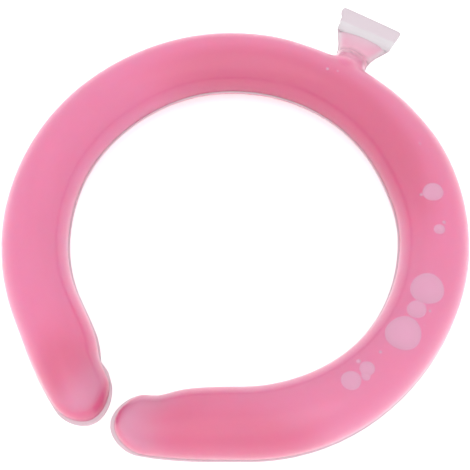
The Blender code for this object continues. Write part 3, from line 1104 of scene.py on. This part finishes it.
class NECKRING_OT_gel(bpy.types.Operator):
    """Model the pink gel with the dishes that its air bubbles leave"""

    bl_idname = "neckring.gel"
    bl_label = "Cooling Gel"

    def execute(self, context):
        s = sizes()
        pink = pink_gel()
        gel = tube("cooling_gel", pink, s.tip_seam + s.wall, s.wall - CONTACT)
        stub = neck_form("gel_stub", pink, NECK_HOLLOW_SECTIONS, grow=CONTACT)
        combine(gel, stub, "UNION")
        round_corner(gel)
        only(gel)
        bpy.ops.object.duplicate()
        film = bpy.context.object
        film.name = "gel_film"
        cut_neck(gel, s.gel_in_neck, "below")
        foot, way = neck_foot()
        for rise, share in GEL_DOME:
            bpy.ops.mesh.extrude_region_move(
                TRANSFORM_OT_translate={"value": way * rise * s.gel_in_neck}
            )
            bpy.ops.transform.resize(
                value=(share, share, share), center_override=foot + way * s.gel_in_neck
            )
        bpy.ops.object.mode_set(mode="OBJECT")
        below = bubble_bottom()
        for bubble in BUBBLES:
            combine(gel, self.dish(bubble, below), "DIFFERENCE")
        finished(gel, "gel_core", shade=30)
        cut_neck(film, 0.8 * s.gel_in_neck, "above")
        bpy.ops.object.mode_set(mode="OBJECT")
        film.data.materials.clear()
        film.data.materials.append(neck_film())
        finished(film, None)
        return {"FINISHED"}

    def dish(self, bubble, below):
        """A lens that cuts one bubble's dish into the top of the gel.

        Its middle stands above the gel by half its own depth, so the cut is as wide as the bubble
        where the lens is the root of 3/4 as wide, and the dish has a shallow rim.
        """
        s = sizes()
        width = bubble.width / 1000
        half = s.tube_width / 2 - s.wall
        across = bubble.across * s.tube_width / 2
        top = (TUBE_HEIGHT / 2 - s.wall) * math.sqrt(1 - (across / half) ** 2)
        angle = math.radians(bubble.round_ring)
        out = Vector((math.sin(angle), math.cos(angle), 0))
        start_piece()
        bpy.ops.mesh.primitive_uv_sphere_add(
            segments=40, ring_count=24, radius=width / 2 / math.sqrt(0.75)
        )
        lens = bpy.context.object
        only(lens)
        bpy.ops.object.mode_set(mode="EDIT")
        bpy.ops.mesh.select_all(action="SELECT")
        deep = 4 * s.bubble_depth * math.sqrt(0.75)
        bpy.ops.transform.resize(value=(1, 1, deep), center_override=(0, 0, 0))
        bpy.ops.transform.translate(value=(0, 0, s.bubble_depth * width))
        bpy.ops.object.mode_set(mode="OBJECT")
        for corner in lens.data.vertices:
            corner.co.z -= half - math.sqrt(half**2 - corner.co.x**2)
        place = RING_CENTRE + out * (s.radius + across) + Vector((0, 0, top))
        aside = Matrix((
            (out.x, -out.y, 0, 0),
            (out.y, out.x, 0, 0),
            (0, 0, 1, 0),
            (0, 0, 0, 1),
        ))
        tilt = Matrix.Rotation(math.asin(across / half), 4, "Y")
        lens.matrix_world = Matrix.Translation(place) @ aside @ tilt
        apply_place(lens)
        lens.data.materials.append(below)
        return lens


class NECKRING_OT_weld(bpy.types.Operator):
    """Model the welded strip across the filler neck's mouth"""

    bl_idname = "neckring.weld"
    bl_label = "Weld Strip"

    def execute(self, context):
        s = sizes()
        weld = draw_out(
            "weld_strip", flat_outline(7),
            neck_stations(WELD_SECTIONS, s.neck_length + 0.0001, s.weld_length, s.weld_bead),
        )
        subdivide_smooth(weld, 2)
        middle = Matrix.Translation((s.neck_length + s.weld_length / 2, 0, 0))
        weld.matrix_world = middle @ Matrix.Rotation(s.weld_turn, 4, "Z") @ middle.inverted()
        apply_place(weld)
        stand_on_ring(weld)
        weld.data.materials.append(fused_plastic())
        finished(weld, "neck_seal")
        return {"FINISHED"}


class NECKRING_OT_stage(bpy.types.Operator):
    """Set the pale floor, the soft studio light and the camera"""

    bl_idname = "neckring.stage"
    bl_label = "Stage"

    def execute(self, context):
        scene = context.scene
        start_piece()
        bpy.ops.mesh.primitive_plane_add(size=6)
        floor = context.object
        floor.name = "floor"
        floor.data.materials.append(pale_floor())

        world = bpy.data.worlds.new("soft_studio")
        world.use_nodes = True
        world.node_tree.nodes["Background"].inputs["Color"].default_value = (1, 1, 1, 1)
        world.node_tree.nodes["Background"].inputs["Strength"].default_value = WORLD_STRENGTH
        scene.world = world

        light = bpy.data.lights.new("key", "AREA")
        light.shape = "DISK"
        light.size = KEY_SIZE
        light.energy = KEY_POWER
        lamp = bpy.data.objects.new("key", light)
        lamp.location = KEY_PLACE
        shining = RING_CENTRE - Vector(KEY_PLACE)
        lamp.rotation_euler = shining.to_track_quat("-Z", "Y").to_euler()
        scene.collection.objects.link(lamp)

        back = Vector((
            math.sin(CAMERA_AZIMUTH) * math.cos(CAMERA_ELEVATION),
            -math.cos(CAMERA_AZIMUTH) * math.cos(CAMERA_ELEVATION),
            math.sin(CAMERA_ELEVATION),
        ))
        lens = bpy.data.cameras.new("camera")
        lens.lens = CAMERA_LENS
        lens.sensor_width = 36
        lens.clip_start = 0.01
        camera = bpy.data.objects.new("camera", lens)
        camera.location = CAMERA_AIM + back * CAMERA_DISTANCE
        camera.rotation_euler = (math.pi / 2 - CAMERA_ELEVATION, 0, CAMERA_AZIMUTH)
        scene.collection.objects.link(camera)
        scene.camera = camera
        scene.view_settings.view_transform = "Standard"
        return {"FINISHED"}


class NECKRING_PT_panel(bpy.types.Panel):
    """The ring's sizes, colours and making steps"""

    bl_idname = "NECKRING_PT_panel"
    bl_label = "Cooling Neck Ring"
    bl_space_type = "VIEW_3D"
    bl_region_type = "UI"
    bl_category = "Neck Ring"

    def draw(self, context):
        for group in (context.scene.neck_ring_sizes, context.scene.neck_ring_colours):
            column = self.layout.column()
            for name in group.__annotations__:
                column.prop(group, name)
        for step in STEPS:
            self.layout.operator(step.bl_idname)


STEPS = (NECKRING_OT_shell, NECKRING_OT_gel, NECKRING_OT_weld, NECKRING_OT_stage)
CLASSES = (RingSizes, RingColours, *STEPS, NECKRING_PT_panel)


def register():
    for made in CLASSES:
        bpy.utils.register_class(made)
    bpy.types.Scene.neck_ring_sizes = bpy.props.PointerProperty(type=RingSizes)
    bpy.types.Scene.neck_ring_colours = bpy.props.PointerProperty(type=RingColours)


def unregister():
    del bpy.types.Scene.neck_ring_colours
    del bpy.types.Scene.neck_ring_sizes
    for made in reversed(CLASSES):
        bpy.utils.unregister_class(made)


def main():
    register()
    bpy.ops.neckring.shell()
    bpy.ops.neckring.gel()
    bpy.ops.neckring.weld()
    bpy.ops.neckring.stage()


if __name__ == "__main__":
    main()
